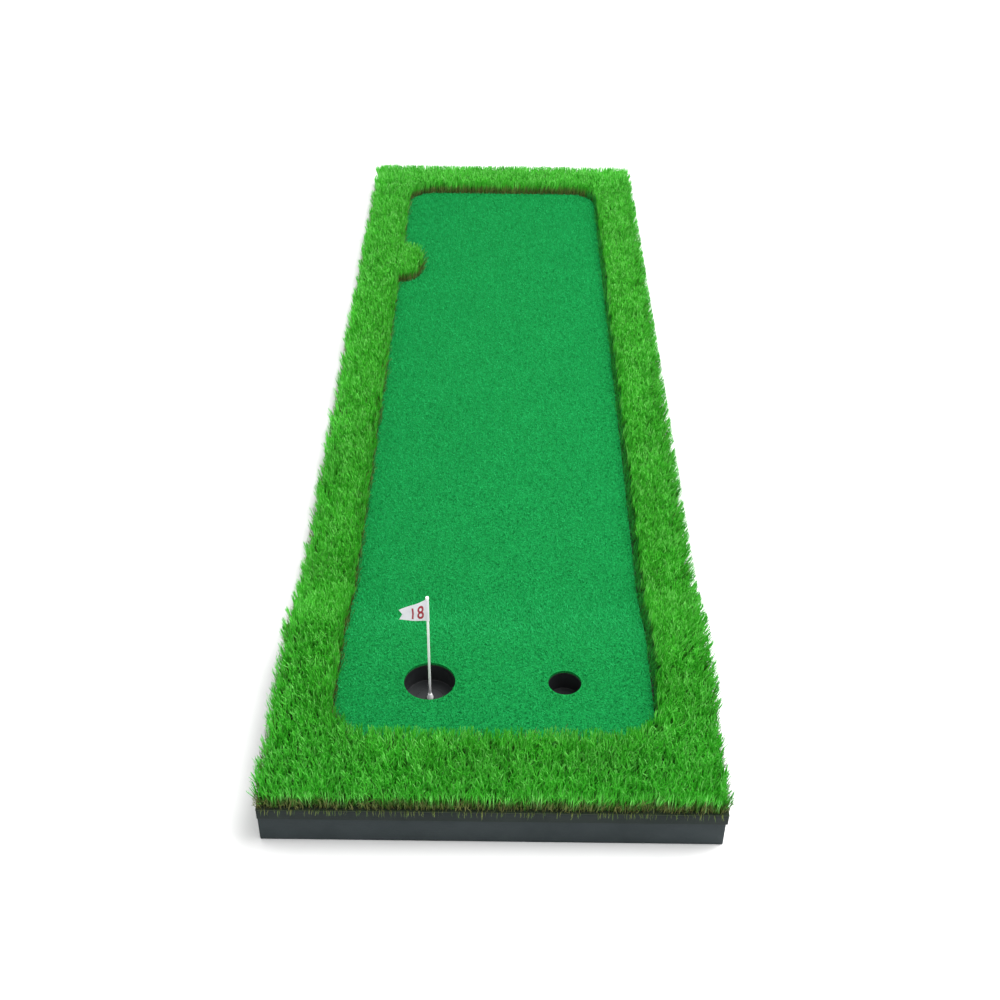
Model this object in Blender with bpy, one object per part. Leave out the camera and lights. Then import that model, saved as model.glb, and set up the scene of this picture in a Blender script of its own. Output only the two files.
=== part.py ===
"""Practice putting mat: foam underlay bent over a riser block, short putting turf,
a fringe of long turf, two cups and a lift-out flagstick with a turning flag.

Frame: origin on the floor under the middle of the mat. +Y runs along the mat, away
from the hole end, +X is to the right seen from the hole end, and +Z is up. Metres.
"""

import math

import bmesh
import bpy

# Footprint
MAT_WIDTH = 0.900
MAT_LENGTH = 3.000

# Thickness of each layer, from the floor up
RISER_HEIGHT = 0.062
UNDERLAY = 0.025
BACKING = 0.002
PUTTING_PILE = 0.010
FRINGE_PILE = 0.050
GAP = 0.0003

# Underlay foam comes in boards 2 m long, so the mat has a long board and a shorter one
UNDERLAY_SEAM_Y = -0.500

# Ramp: the level hole end runs from the front edge to RAMP_TOP_Y
RAMP_TOP_Y = -1.050
RAMP_RUN = 0.260
RAMP_BLEND = 0.070
RAMP_STEPS = 5

# Riser block, a loose board that is narrower than the mat and lies a little to the left
RISER_WIDTH = 0.8965
RISER_OFFSET_X = -0.00125
RISER_SETBACK = 0.003
RISER_TIP = 0.004

# Putting green, inside the fringe
GREEN_LEFT = -0.328
GREEN_RIGHT = 0.328
GREEN_FRONT = -1.330
GREEN_BACK = 1.356
CORNER_RADIUS = 0.090
CORNER_STEPS = 8

# Seams of the fringe: the front strip takes in the level hole end, the back strip both corners
SEAM_MARGIN = 0.006
SEAM_FRONT = RAMP_TOP_Y
SEAM_BACK = GREEN_BACK - CORNER_RADIUS - SEAM_MARGIN

# Tongue of long turf on the green's left edge
TONGUE_Y = 0.793
TONGUE_HALF_LENGTH = 0.105
TONGUE_REACH = 0.072
TONGUE_POWER = 2.5
TONGUE_STEPS = 14

# Cups
LARGE_X = -0.1355
LARGE_RADIUS = 0.054
SMALL_X = 0.1475
SMALL_RADIUS = 0.035
CUP_Y = -1.158
CUP_DEPTH = 0.055
CUP_WALL = 0.0016
CUP_FLOOR = 0.002
FLANGE_REACH = 0.010
FLANGE_THICK = 0.0015
CUP_SEGMENTS = 48
SOCKET_RADIUS = 0.0029
SOCKET_OUTER = 0.0055
SOCKET_DEPTH = 0.009

# Flagstick
ROD_RADIUS = 0.0026
STICK_HEIGHT = 0.231
FOOT_RADIUS = 0.0070
FOOT_NECK = 0.0041
FOOT_HEIGHT = 0.013
FOOT_RIM = 0.003
SPIGOT_LENGTH = 0.008
ROD_SEAT = 0.009
CAP_RADIUS = 0.0036
CAP_HEIGHT = 0.0070
CAP_DOME = 0.0025
CAP_CROWN = 0.0020
ROD_SEGMENTS = 24
DOME_STEPS = 4

# Flag
FLAG_HOIST = 0.056
FLAG_FLY = 0.0545
FLAG_TAIL = 0.0255
FLAG_NOTCH = 0.0065
FLAG_DROOP = 0.0060
FLAG_THICK = 0.0008
FLAG_SLEEVE = 0.0035
FLAG_BELOW_TOP = 0.0082
FLAG_YAW = math.radians(9.0)

# Levels, worked out from the layers
UNDERLAY_BOTTOM = 0.0
UNDERLAY_TOP = UNDERLAY_BOTTOM + UNDERLAY
BACKING_BOTTOM = UNDERLAY_TOP + GAP
BACKING_TOP = BACKING_BOTTOM + BACKING
PILE_BOTTOM = BACKING_TOP + GAP
PUTTING_TOP = PILE_BOTTOM + PUTTING_PILE
FRINGE_TOP = PILE_BOTTOM + FRINGE_PILE

HALF_WIDTH = MAT_WIDTH / 2
HALF_LENGTH = MAT_LENGTH / 2
CUP_TOP = RISER_HEIGHT + UNDERLAY_TOP
CUP_FLOOR_TOP = RISER_HEIGHT + PUTTING_TOP - CUP_DEPTH
STICK_TOP = RISER_HEIGHT + PUTTING_TOP + STICK_HEIGHT


def clear_scene():
    for old in list(bpy.data.objects):
        bpy.data.objects.remove(old, do_unlink=True)


def material(name, colour, roughness, metallic=0.0):
    mat = bpy.data.materials.new(name)
    mat.use_nodes = True
    shader = mat.node_tree.nodes["Principled BSDF"]
    shader.inputs["Base Color"].default_value = (*colour, 1.0)
    shader.inputs["Roughness"].default_value = roughness
    shader.inputs["Metallic"].default_value = metallic
    return mat


def add_object(name, mesh_builder, mat=None):
    """Turns a bmesh into a named object with outward faces."""
    bmesh.ops.recalc_face_normals(mesh_builder, faces=mesh_builder.faces)
    mesh = bpy.data.meshes.new(name)
    mesh_builder.to_mesh(mesh)
    mesh_builder.free()
    if mat is not None:
        mesh.materials.append(mat)
    made = bpy.data.objects.new(name, mesh)
    bpy.context.scene.collection.objects.link(made)
    return made


def smooth_round(made, angle=40.0):
    made.data.shade_smooth()
    made.data.set_sharp_from_angle(angle=math.radians(angle))


def rise(y):
    """How far the riser lifts the mat at y: level, a blend, a straight ramp, a blend, level."""
    t = y - RAMP_TOP_Y
    slope = RISER_HEIGHT / (RAMP_RUN - RAMP_BLEND)
    if t <= 0:
        return RISER_HEIGHT
    if t < RAMP_BLEND:
        return RISER_HEIGHT - slope * t * t / (2 * RAMP_BLEND)
    if t < RAMP_RUN - RAMP_BLEND:
        return RISER_HEIGHT - slope * (t - RAMP_BLEND / 2)
    if t < RAMP_RUN:
        return slope * (RAMP_RUN - t) ** 2 / (2 * RAMP_BLEND)
    return 0.0


def ramp_stations():
    """The places along Y where a sheet bends: the steps of both blends."""
    step = RAMP_BLEND / RAMP_STEPS
    top = [RAMP_TOP_Y + i * step for i in range(RAMP_STEPS + 1)]
    foot = [RAMP_TOP_Y + RAMP_RUN - RAMP_BLEND + i * step for i in range(RAMP_STEPS + 1)]
    return top + foot


def arc(cx, cy, radius, start, end, steps):
    """Points of a round stretch, from the start angle to the end angle in degrees."""
    points = []
    for i in range(steps + 1):
        a = math.radians(start + (end - start) * i / steps)
        points.append((cx + radius * math.cos(a), cy + radius * math.sin(a)))
    return points


def tongue(edge_x, grow):
    """The tongue's outline on a left edge at edge_x, from its near end to its far end."""
    reach = GREEN_LEFT + TONGUE_REACH + grow - edge_x
    half = TONGUE_HALF_LENGTH + grow
    points = []
    for i in range(TONGUE_STEPS + 1):
        a = math.pi * i / TONGUE_STEPS
        c, s = math.cos(a), math.sin(a)
        along = -math.copysign(abs(c) ** (2 / TONGUE_POWER), c) * half
        out = abs(s) ** (2 / TONGUE_POWER) * reach
        points.append((edge_x + out, TONGUE_Y + along))
    points[0] = (edge_x, points[0][1])
    points[-1] = (edge_x, points[-1][1])
    return points


def rectangle(front, back):
    """The outline of a full-width board from front to back."""
    return [(-HALF_WIDTH, front), (HALF_WIDTH, front), (HALF_WIDTH, back), (-HALF_WIDTH, back)]


def green_outline(inset):
    """The putting green's outline, anticlockwise, drawn in by the inset."""
    left, right = GREEN_LEFT + inset, GREEN_RIGHT - inset
    front, back = GREEN_FRONT + inset, GREEN_BACK - inset
    r = CORNER_RADIUS - inset
    points = arc(left + r, front + r, r, 180, 270, CORNER_STEPS)
    points += arc(right - r, front + r, r, 270, 360, CORNER_STEPS)
    points += arc(right - r, back - r, r, 0, 90, CORNER_STEPS)
    points += arc(left + r, back - r, r, 90, 180, CORNER_STEPS)
    points += reversed(tongue(left, inset))
    return points


def end_strip_outline(sign):
    """A strip across one end, with the green's two rounded corners. sign -1 is the hole end."""
    outer = HALF_LENGTH
    inner = -GREEN_FRONT if sign < 0 else GREEN_BACK
    seam = -SEAM_FRONT if sign < 0 else SEAM_BACK
    r = CORNER_RADIUS
    points = [(-HALF_WIDTH, outer), (-HALF_WIDTH, seam), (GREEN_LEFT, seam)]
    points += arc(GREEN_LEFT + r, inner - r, r, 180, 90, CORNER_STEPS)
    points += arc(GREEN_RIGHT - r, inner - r, r, 90, 0, CORNER_STEPS)
    points += [(GREEN_RIGHT, seam), (HALF_WIDTH, seam), (HALF_WIDTH, outer)]
    return [(x, sign * y) for x, y in points]


def left_strip_outline():
    front, back = SEAM_FRONT + GAP, SEAM_BACK - GAP
    points = [(-HALF_WIDTH, back), (-HALF_WIDTH, front), (GREEN_LEFT, front)]
    points += tongue(GREEN_LEFT, 0.0)
    points.append((GREEN_LEFT, back))
    return points


def right_strip_outline():
    front, back = SEAM_FRONT + GAP, SEAM_BACK - GAP
    return [(GREEN_RIGHT, front), (HALF_WIDTH, front), (HALF_WIDTH, back), (GREEN_RIGHT, back)]


def bent_sheet(name, outline, bottom, top, mat):
    """A flat sheet cut to the outline and laid over the riser, bottom and top above its underside."""
    bm = bmesh.new()
    corners = [bm.verts.new((x, y, 0.0)) for x, y in outline]
    bm.faces.new(corners)
    low = min(y for _, y in outline)
    high = max(y for _, y in outline)
    for y in ramp_stations():
        if low < y < high:
            everything = bm.verts[:] + bm.edges[:] + bm.faces[:]
            bmesh.ops.bisect_plane(bm, geom=everything, plane_co=(0, y, 0), plane_no=(0, 1, 0))
    grown = bmesh.ops.extrude_face_region(bm, geom=bm.faces[:], use_keep_orig=True)
    raised = {v for v in grown["geom"] if isinstance(v, bmesh.types.BMVert)}
    for v in bm.verts:
        v.co.z = rise(v.co.y) + (top if v in raised else bottom)
    return add_object(name, bm, mat)


def turned(name, profile, x, y, segments, mat=None):
    """A closed profile of (radius, z) points turned about a vertical axis at x, y."""
    bm = bmesh.new()
    ring = [bm.verts.new((r, 0.0, z)) for r, z in profile]
    edges = [bm.edges.new((a, b)) for a, b in zip(ring, ring[1:] + ring[:1])]
    bmesh.ops.spin(
        bm, geom=ring + edges, cent=(0, 0, 0), axis=(0, 0, 1), angle=2 * math.pi,
        steps=segments, use_duplicate=False,
    )
    bmesh.ops.remove_doubles(bm, verts=bm.verts, dist=1e-6)
    bmesh.ops.dissolve_degenerate(bm, edges=bm.edges, dist=1e-7)
    made = add_object(name, bm, mat)
    made.location = (x, y, 0.0)
    smooth_round(made)
    return made


def hide_cutter(cutter):
    cutter.hide_render = True
    cutter.display_type = "WIRE"


def cut(target, cutter):
    cutting = target.modifiers.new("cut_" + cutter.name, "BOOLEAN")
    cutting.operation = "DIFFERENCE"
    cutting.solver = "EXACT"
    cutting.object = cutter


def join(target, other):
    joining = target.modifiers.new("join_" + other.name, "BOOLEAN")
    joining.operation = "UNION"
    joining.solver = "EXACT"
    joining.object = other


def turned_cutter(name, profile, x):
    cutter = turned(name, profile, x, CUP_Y, CUP_SEGMENTS)
    hide_cutter(cutter)
    return cutter


def cup(name, radius, x, mat, socket):
    """A cup with a flange at its rim. With a socket, a sleeve under its floor takes the foot's spigot."""
    outer = radius + CUP_WALL
    under = CUP_FLOOR_TOP - CUP_FLOOR
    profile = [
        (radius, CUP_TOP),
        (outer + FLANGE_REACH, CUP_TOP),
        (outer + FLANGE_REACH, CUP_TOP - FLANGE_THICK),
        (outer, CUP_TOP - FLANGE_THICK),
        (outer, under),
    ]
    if socket:
        bottom = CUP_FLOOR_TOP - SOCKET_DEPTH
        profile += [(SOCKET_OUTER, under), (SOCKET_OUTER, bottom), (SOCKET_RADIUS, bottom)]
        profile += [(SOCKET_RADIUS, CUP_FLOOR_TOP), (radius, CUP_FLOOR_TOP)]
    else:
        profile += [(0.0, under), (0.0, CUP_FLOOR_TOP), (radius, CUP_FLOOR_TOP)]
    return turned(name, profile, x, CUP_Y, CUP_SEGMENTS, mat)


def cup_pocket(name, radius, x, socket):
    """The stepped cutter that makes room for a cup in the underlay and in the riser."""
    body = radius + CUP_WALL + GAP
    flange = body + FLANGE_REACH
    under = CUP_FLOOR_TOP - CUP_FLOOR - GAP
    ledge = CUP_TOP - FLANGE_THICK - GAP
    above = CUP_TOP + CUP_FLOOR
    profile = [(0.0, above), (flange, above), (flange, ledge), (body, ledge), (body, under)]
    if socket:
        sleeve = SOCKET_OUTER + GAP
        bottom = CUP_FLOOR_TOP - SOCKET_DEPTH - GAP
        profile += [(sleeve, under), (sleeve, bottom), (0.0, bottom)]
    else:
        profile.append((0.0, under))
    return turned_cutter(name, profile, x)


def turf_hole(name, radius, x):
    """The cutter for a hole through the putting turf, as wide as the cup inside."""
    below = CUP_TOP - CUP_FLOOR
    above = RISER_HEIGHT + PUTTING_TOP + CUP_FLOOR
    return turned_cutter(name, [(0.0, above), (radius, above), (radius, below), (0.0, below)], x)


def riser_block(mat):
    """A board with a level top and a sloping back, ending in a blunt tip."""
    front = -HALF_LENGTH + RISER_SETBACK
    slope = RISER_HEIGHT / (RAMP_RUN - RAMP_BLEND)
    tip_back = math.sqrt(RISER_TIP * 2 * RAMP_BLEND / slope)
    end = RAMP_TOP_Y + RAMP_RUN - tip_back
    stations = [front] + [y for y in ramp_stations() if y < end - GAP] + [end]
    profile = [(front, 0.0), (end, 0.0)] + [(y, rise(y) - GAP) for y in reversed(stations)]
    left = RISER_OFFSET_X - RISER_WIDTH / 2
    bm = bmesh.new()
    side = bm.faces.new([bm.verts.new((left, y, z)) for y, z in profile])
    grown = bmesh.ops.extrude_face_region(bm, geom=[side], use_keep_orig=True)
    moved = [v for v in grown["geom"] if isinstance(v, bmesh.types.BMVert)]
    bmesh.ops.translate(bm, verts=moved, vec=(RISER_WIDTH, 0, 0))
    return add_object("riser_block", bm, mat)


def fringe(name, outline, backing_mat, pile_mat):
    bent_sheet(name + "_backing", outline, BACKING_BOTTOM, BACKING_TOP, backing_mat)
    bent_sheet(name + "_pile", outline, PILE_BOTTOM, FRINGE_TOP, pile_mat)


def flagstick(mat):
    """The foot, rod and cap, under one empty at the bottom of the lift."""
    lift = bpy.data.objects.new("flagstick_lift_axis", None)
    lift.location = (LARGE_X, CUP_Y, CUP_FLOOR_TOP)
    bpy.context.scene.collection.objects.link(lift)
    base = GAP
    seat = base + FOOT_HEIGHT - ROD_SEAT
    bore = ROD_RADIUS + GAP
    foot_profile = [
        (0.0, base - SPIGOT_LENGTH),
        (ROD_RADIUS, base - SPIGOT_LENGTH),
        (ROD_RADIUS, base),
        (FOOT_RADIUS, base),
        (FOOT_RADIUS, base + FOOT_RIM),
        (FOOT_NECK, base + FOOT_HEIGHT),
        (bore, base + FOOT_HEIGHT),
        (bore, seat),
        (0.0, seat),
    ]
    foot = turned("flagstick_foot", foot_profile, 0.0, 0.0, ROD_SEGMENTS, mat)
    top = STICK_TOP - CUP_FLOOR_TOP
    shoulder = top - CAP_HEIGHT
    rod_end = top - CAP_CROWN
    rod_profile = [
        (0.0, seat + GAP),
        (ROD_RADIUS, seat + GAP),
        (ROD_RADIUS, rod_end),
        (0.0, rod_end),
    ]
    rod = turned("flagstick_rod", rod_profile, 0.0, 0.0, ROD_SEGMENTS, mat)
    cap_profile = [(bore, shoulder), (CAP_RADIUS, shoulder)]
    for along, up in arc(0.0, 0.0, 1.0, 0, 90, DOME_STEPS)[:-1]:
        cap_profile.append((CAP_RADIUS * along, top - CAP_DOME * (1 - up)))
    cap_profile += [(0.0, top), (0.0, rod_end + GAP), (bore, rod_end + GAP)]
    cap = turned("flagstick_cap", cap_profile, 0.0, 0.0, ROD_SEGMENTS, mat)
    for piece in (foot, rod, cap):
        piece.parent = lift
    return lift


def flag(lift, mat):
    """A pennant with a swallow tail, and a sleeve that turns on the rod."""
    top = STICK_TOP - FLAG_BELOW_TOP
    bottom = top - FLAG_HOIST
    middle = (top + bottom) / 2 - FLAG_DROOP
    inner = ROD_RADIUS + GAP
    sleeve = turned(
        "flag_sleeve_form",
        [(inner, bottom), (FLAG_SLEEVE, bottom), (FLAG_SLEEVE, top), (inner, top)],
        LARGE_X, CUP_Y, ROD_SEGMENTS,
    )
    hide_cutter(sleeve)
    start = -(inner + FLAG_SLEEVE) / 2
    tail = -ROD_RADIUS - FLAG_FLY
    outline = [
        (start, top),
        (start, bottom),
        (tail, middle - FLAG_TAIL / 2),
        (tail + FLAG_NOTCH, middle),
        (tail, middle + FLAG_TAIL / 2),
    ]
    bm = bmesh.new()
    face = bm.faces.new([bm.verts.new((x, -FLAG_THICK / 2, z)) for x, z in outline])
    grown = bmesh.ops.extrude_face_region(bm, geom=[face], use_keep_orig=True)
    moved = [v for v in grown["geom"] if isinstance(v, bmesh.types.BMVert)]
    bmesh.ops.translate(bm, verts=moved, vec=(0, FLAG_THICK, 0))
    made = add_object("flag", bm, mat)
    made.parent = lift
    made.matrix_parent_inverse = lift.matrix_basis.inverted()
    made.location = (LARGE_X, CUP_Y, 0.0)
    made.rotation_euler = (0.0, 0.0, FLAG_YAW)
    join(made, sleeve)
    return made


def build():
    clear_scene()
    foam_slate = material("foam_slate", (0.055, 0.065, 0.075), 0.8)
    foam_dark = material("foam_dark", (0.022, 0.026, 0.032), 0.85)
    coated_backing = material("coated_backing", (0.02, 0.022, 0.02), 0.9)
    short_pile = material("short_pile", (0.012, 0.30, 0.075), 0.8)
    long_pile = material("long_pile", (0.045, 0.36, 0.025), 0.6)
    black_plastic = material("black_plastic", (0.018, 0.019, 0.021), 0.45)
    white_plastic = material("white_plastic", (0.82, 0.82, 0.84), 0.35)
    flag_film = material("flag_film", (0.80, 0.78, 0.84), 0.5)

    pockets = [
        cup_pocket("large_pocket", LARGE_RADIUS, LARGE_X, True),
        cup_pocket("small_pocket", SMALL_RADIUS, SMALL_X, False),
    ]
    turf_holes = [
        turf_hole("large_hole", LARGE_RADIUS, LARGE_X),
        turf_hole("small_hole", SMALL_RADIUS, SMALL_X),
    ]

    riser = riser_block(foam_slate)
    hole_end = rectangle(-HALF_LENGTH, UNDERLAY_SEAM_Y - GAP)
    level_end = rectangle(UNDERLAY_SEAM_Y, HALF_LENGTH)
    underlay = bent_sheet("underlay_hole_end", hole_end, UNDERLAY_BOTTOM, UNDERLAY_TOP, foam_dark)
    bent_sheet("underlay_level", level_end, UNDERLAY_BOTTOM, UNDERLAY_TOP, foam_dark)
    for pocket in pockets:
        cut(underlay, pocket)
        cut(riser, pocket)

    green = green_outline(GAP)
    backing = bent_sheet("putting_backing", green, BACKING_BOTTOM, BACKING_TOP, coated_backing)
    pile = bent_sheet("putting_pile", green, PILE_BOTTOM, PUTTING_TOP, short_pile)
    for hole in turf_holes:
        cut(backing, hole)
        cut(pile, hole)

    fringe("fringe_front", end_strip_outline(-1), coated_backing, long_pile)
    fringe("fringe_back", end_strip_outline(1), coated_backing, long_pile)
    fringe("fringe_left", left_strip_outline(), coated_backing, long_pile)
    fringe("fringe_right", right_strip_outline(), coated_backing, long_pile)

    cup("cup_large", LARGE_RADIUS, LARGE_X, black_plastic, True)
    cup("cup_small", SMALL_RADIUS, SMALL_X, black_plastic, False)

    lift = flagstick(white_plastic)
    flag(lift, flag_film)


build()
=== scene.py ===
import math

import bmesh
import bpy
import numpy as np
from mathutils import Matrix, Vector
from mathutils.bvhtree import BVHTree


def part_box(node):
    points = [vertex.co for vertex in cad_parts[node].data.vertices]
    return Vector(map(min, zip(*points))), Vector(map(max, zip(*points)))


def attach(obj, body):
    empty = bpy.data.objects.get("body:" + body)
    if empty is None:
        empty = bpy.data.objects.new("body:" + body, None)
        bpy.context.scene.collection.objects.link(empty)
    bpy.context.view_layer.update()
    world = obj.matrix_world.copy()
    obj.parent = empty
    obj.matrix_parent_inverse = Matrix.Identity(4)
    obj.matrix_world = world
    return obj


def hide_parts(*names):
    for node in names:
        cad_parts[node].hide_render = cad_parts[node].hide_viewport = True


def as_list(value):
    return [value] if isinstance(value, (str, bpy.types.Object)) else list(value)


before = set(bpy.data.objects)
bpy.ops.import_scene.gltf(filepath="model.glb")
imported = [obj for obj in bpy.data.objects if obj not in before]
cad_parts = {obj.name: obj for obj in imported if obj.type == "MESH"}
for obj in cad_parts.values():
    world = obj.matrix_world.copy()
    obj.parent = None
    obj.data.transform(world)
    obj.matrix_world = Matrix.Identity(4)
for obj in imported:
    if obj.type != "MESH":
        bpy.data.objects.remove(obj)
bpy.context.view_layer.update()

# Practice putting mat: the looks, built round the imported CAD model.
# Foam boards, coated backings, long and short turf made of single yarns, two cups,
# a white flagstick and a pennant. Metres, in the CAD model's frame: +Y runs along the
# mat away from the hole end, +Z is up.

MAT_HALF_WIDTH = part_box("underlay_level")[1].x
MAT_HALF_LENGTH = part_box("underlay_level")[1].y
UP = np.array([0.0, 0.0, 1.0])

FACING_UP = 0.5  # the least upward part of the normal of a face that counts as a top

# Camera
CAMERA_PLACE = (0.0080, -3.1784, 2.1241)
CAMERA_YAW = -0.0004
CAMERA_PITCH = 0.6541
CAMERA_ROLL = 0.0120
CAMERA_LENS = 48.80
SENSOR_WIDTH = 36.0

# Light and floor
KEY_PLACE = (2.1, 0.1, 4.0)
KEY_TARGET = (0.0, -0.1, 0.0)
KEY_SIZE = 4.5
KEY_POWER = 305.0
SKY_STRENGTH = 0.98
FLOOR_REACH = 90.0
FLOOR_DROP = 0.0002

# Long turf: tufts in rows, each of several blades
LONG_GAUGE = 0.0100
LONG_STITCH = 0.0072
LONG_JITTER = 0.0022
LONG_BLADES = 9
EDGE_BLADES = 14  # in the tufts along the mat's sides
BLADES_KEPT = 0.92
LONG_LENGTH = 0.0515
FAR_LENGTH = 0.08  # how much longer the blades get towards the far end
LONG_WIDTH = 0.0021
EDGE_WIDTH = 0.85
LONG_INSET = 0.0060
LONG_REACH = 0.017  # how far blades may stand outside the mat's sides
LONG_ROWS = (0.0, 0.42, 0.72, 0.92, 1.0)
# How far a blade's middle is raised, for its half width
LONG_FOLDS = {"dark": 0.0, "mid": 0.0, "light": 0.45}
LONG_SHARES = (0.30, 0.70)  # where dark blades turn to mid, and mid to light
ROOT_STRAY = 0.0011
ROOT_DEPTH = 0.0005
TIP_CURL = 2.5  # a higher power leaves more of the bend to the tip
PILE_SWAY = 0.025
TUFT_STRAY = 0.13
BLADE_STRAY = 0.13
SLOPE_LEAN = 0.6  # how far the pile follows the ramp's slope

# Long turf: how it leans, in radians, and over what distance each lean fades
LEAN_MIDDLE = 0.18
LEAN_SIDE = 0.10
LEAN_FRONT = 0.35  # share of the sideways lean that is left at the hole end
LEAN_FRONT_LEFT = 0.90  # the same, left of the place below
FRONT_LEFT = -0.3
FRONT_ZONE = 0.4
LEAN_BACK = 0.40
BACK_ZONE = 0.15
SPLAY_LEFT = 0.46
SPLAY_RIGHT = 0.34
SIDE_ZONE = 0.030
SPLAY_ENDS = 0.06
ENDS_ZONE = 0.018
SPLAY_INNER_LEFT = ((-0.9, -0.5, 0.0), (0.0, 0.11, 0.14))  # places along Y, and leans there
SPLAY_INNER_RIGHT = ((-1.3, -1.0, -0.4, 0.0, 1.3), (0.08, -0.05, 0.0, 0.10, 0.22))
SPLAY_INNER_Y = 0.36
INNER_ZONE = 0.025
EDGE_ZONE = 0.03
EDGE_TIDY = 0.85  # how much less blades stray across a cut edge
EDGE_ALONG = 0.7  # the same along the edge, as a share of that
EDGE_SPREAD = 3.2  # how much further the outer blades are strewn along the edge
EDGE_FAN = 3.0  # how much more they lean about along it

# Thatch: crimped yarns between the blades
THATCH_GAUGE = 0.0075
THATCH_STITCH = 0.0055
THATCH_JITTER = 0.0025
THATCH_LENGTH = 0.029
THATCH_WIDTH = 0.0010
THATCH_PUSH = 0.8  # its share of the pile's lean
THATCH_STRAY = 0.16
THATCH_CURL = 1.5
THATCH_CRIMP = 0.0012
THATCH_REACH = 0.4  # its share of LONG_REACH
THATCH_EDGE = 0.0085  # the band along the cut edges with more and longer thatch
THATCH_EXTRA = 6
THATCH_SPREAD = 0.0028
THATCH_EDGE_LENGTH = 1.35
THATCH_INSET = 0.0008
# Painted shade: the thatch is green along the right inner wall, which lies in shade.
PAINTED_SHADE_THATCH_X = (0.30, 0.40)
PAINTED_SHADE_THATCH_Y = 1.40
FRAYED_EDGE = 0.0045  # the band at the front whose threads may hang over the edge
FRAYED_SHARE = 0.45
FRAYED_LENGTH = 0.6
FRAYED_CURL = 0.6

# Short turf
SHORT_GAUGE = 0.0036
SHORT_STITCH = 0.0040
SHORT_JITTER = 0.0018
SHORT_LENGTH = 0.0125
SHORT_WIDTH = 0.0014
SHORT_LIFT = 0.0015
SHORT_BED = 0.0040  # how far the dense lower part stays below the CAD solid's top
SHORT_TOP = 0.005  # points of that solid that are higher above the backing belong to its top
SHORT_SHARES = (0.33, 0.67)
# The crest band is a painted sheen: the short yarns across it get paler tones.
CREST_Y = -0.97  # a paler band across the crest of the ramp
CREST_WIDTH = 0.07
CREST_PAINTED_SHEEN = 1.1

# Yarns: how wide they stay near the tip, as a share of the width at the root
YARN_TAPER = 0.55

# Colours of the blades: root and low part of all, then two thirds up, tip and pale yarns of
# each tone, with roughness and gloss
# Painted shade: the blades' darker low part, and partly their brown root, which also stands for thatch.
BLADE_ROOT_SHADE_AND_THATCH = (0.040, 0.045, 0.011)
BLADE_LOW_PAINTED_SHADE = (0.056, 0.140, 0.020)
BLADE_LOOKS = {
    "light": ((0.146, 0.75, 0.076), (0.070, 0.475, 0.037), (0.29, 0.78, 0.20), 0.42, 0.3),
    "mid": ((0.102, 0.66, 0.053), (0.046, 0.42, 0.020), (0.12, 0.60, 0.060), 0.46, 0.25),
    "dark": ((0.056, 0.45, 0.028), (0.025, 0.35, 0.013), (0.08, 0.46, 0.030), 0.50, 0.2),
}
# Colours of the other yarns: root, tip and pale yarns, with roughness and gloss
# Each of these yarns is darker at the root than at the tip: painted shade down in the pile.
YARN_LOOKS = {
    "yarn_thatch": ((0.050, 0.072, 0.016), (0.080, 0.19, 0.032), (0.31, 0.29, 0.09), 0.6, 0.2),
    "yarn_thatch_painted_shade": ((0.015, 0.17, 0.024), (0.024, 0.33, 0.032), (0.05, 0.34, 0.07), 0.6, 0.1),
    "short_light": ((0.006, 0.14, 0.036), (0.022, 0.430, 0.117), (0.034, 0.465, 0.138), 0.8, 0.0),
    "short_mid": ((0.004, 0.14, 0.034), (0.014, 0.365, 0.089), (0.018, 0.390, 0.100), 0.8, 0.0),
    "short_dark": ((0.003, 0.12, 0.028), (0.010, 0.320, 0.075), (0.013, 0.345, 0.083), 0.8, 0.0),
}

# Foam and backings
FOAM_BEVEL = 0.0020

# Cups and flagstick, as in the CAD model
LARGE_HOLE_RADIUS = 0.054
SMALL_HOLE_RADIUS = 0.035
CUP_WALL = 0.0016
CUP_FLOOR = 0.0020
CUP_FLANGE = 0.0015
SOCKET_RADIUS = 0.0029
SOCKET_OUTER = 0.0055
SPIGOT_LENGTH = 0.008
FOOT_RIM = 0.003
FOOT_NECK = 0.0041
GAP = 0.0003

# Details of the mouldings: ridges by their four radii, a fillet by steps in and up
COLLAR_RADII = (0.0078, 0.0082, 0.0094, 0.0100)
RIB_STEPS = (-0.0012, -0.0006, 0.0006, 0.0012)
RIB_PLACE = 0.55  # the rib's radius, for the hole's
RIDGE_HEIGHT = 0.0008
BOSS_RADII = (0.006, 0.007)
BOSS_HEIGHT = 0.0006
CUP_FILLET = ((-0.0008, 0.0), (-0.0002, 0.0006), (0.0, 0.004))
FOOT_FILLET = 0.0010
ROD_FILLET = 0.0003
CAP_CHAMFER = 0.0004
CAP_DOME = 0.7

# Pennant and its number
FLAG_YAW = math.radians(9.0)
FLAG_TAIL = 0.0255
FLAG_NOTCH = 0.0065
FLAG_DROOP = 0.0060
FLAG_WAVE = 0.0016
FLAG_START = 0.0006
FILM_HALF = 0.00014
SLEEVE_WALL = 0.0004
INK_PROUD = 0.00006
NUMBER = "18"
NUMBER_ACROSS = (0.08, 0.55)  # from the sleeve to the tail, 0 to 1
NUMBER_UP = (-0.80, 0.62)  # from the bottom to the top, -1 to 1

FRINGE_SIDES = ("front", "back", "left", "right")
TONES = ("light", "mid", "dark")


# ---------------------------------------------------------------- materials


def new_material(name):
    """A material, its node tree and its Principled shader."""
    mat = bpy.data.materials.new(name)
    mat.use_nodes = True
    return mat, mat.node_tree, mat.node_tree.nodes["Principled BSDF"]


def ramp_node(tree, factor, stops):
    """A colour ramp fed by the factor socket, with (place, colour) stops."""
    ramp = tree.nodes.new("ShaderNodeValToRGB")
    while len(ramp.color_ramp.elements) < len(stops):
        ramp.color_ramp.elements.new(1.0)
    for element, (place, colour) in zip(ramp.color_ramp.elements, stops):
        element.position = place
        element.color = (*colour, 1.0)
    tree.links.new(factor, ramp.inputs["Fac"])
    return ramp.outputs["Color"]


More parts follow.
